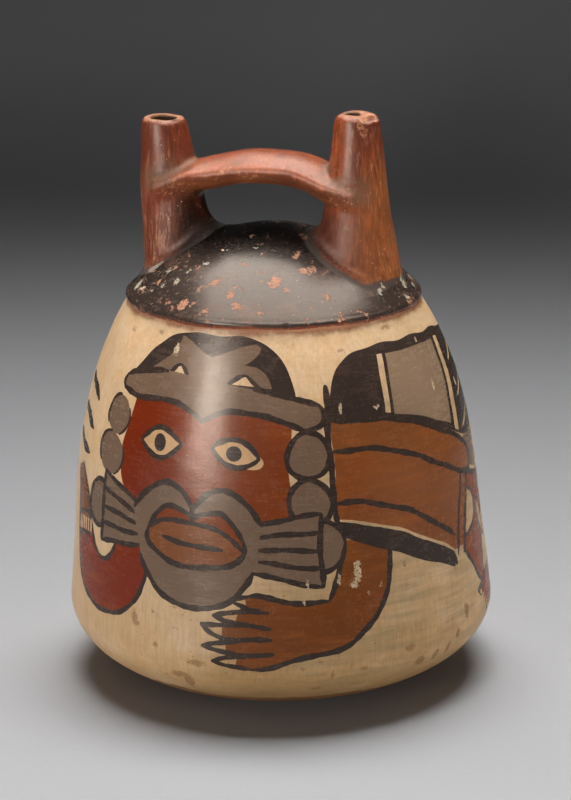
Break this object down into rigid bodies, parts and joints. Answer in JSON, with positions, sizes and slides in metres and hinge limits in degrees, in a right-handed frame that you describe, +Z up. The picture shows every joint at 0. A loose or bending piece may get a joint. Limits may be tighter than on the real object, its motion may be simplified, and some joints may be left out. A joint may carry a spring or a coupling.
{
  "type": "double spout vessel",
  "caption": "Hollow pottery bottle with a domed top, two tapering spouts joined by a strap handle, and a painted masked figure.",
  "frame": {"origin": "centre of the vessel's flat underside, below the middle of its widest ring", "axes": "+Z up, X runs through the two spouts with the taller spout at +X, the painted mask faces -Y"},
  "size_m": [0.1468, 0.1468, 0.195],
  "materials": {
    "painted_pottery": "burnished slip paint in cream, red-brown, grey and black, worn and chipped"
  },
  "bodies": {
    "root": {"vessel": "painted_pottery"}
  },
  "joints": []
}
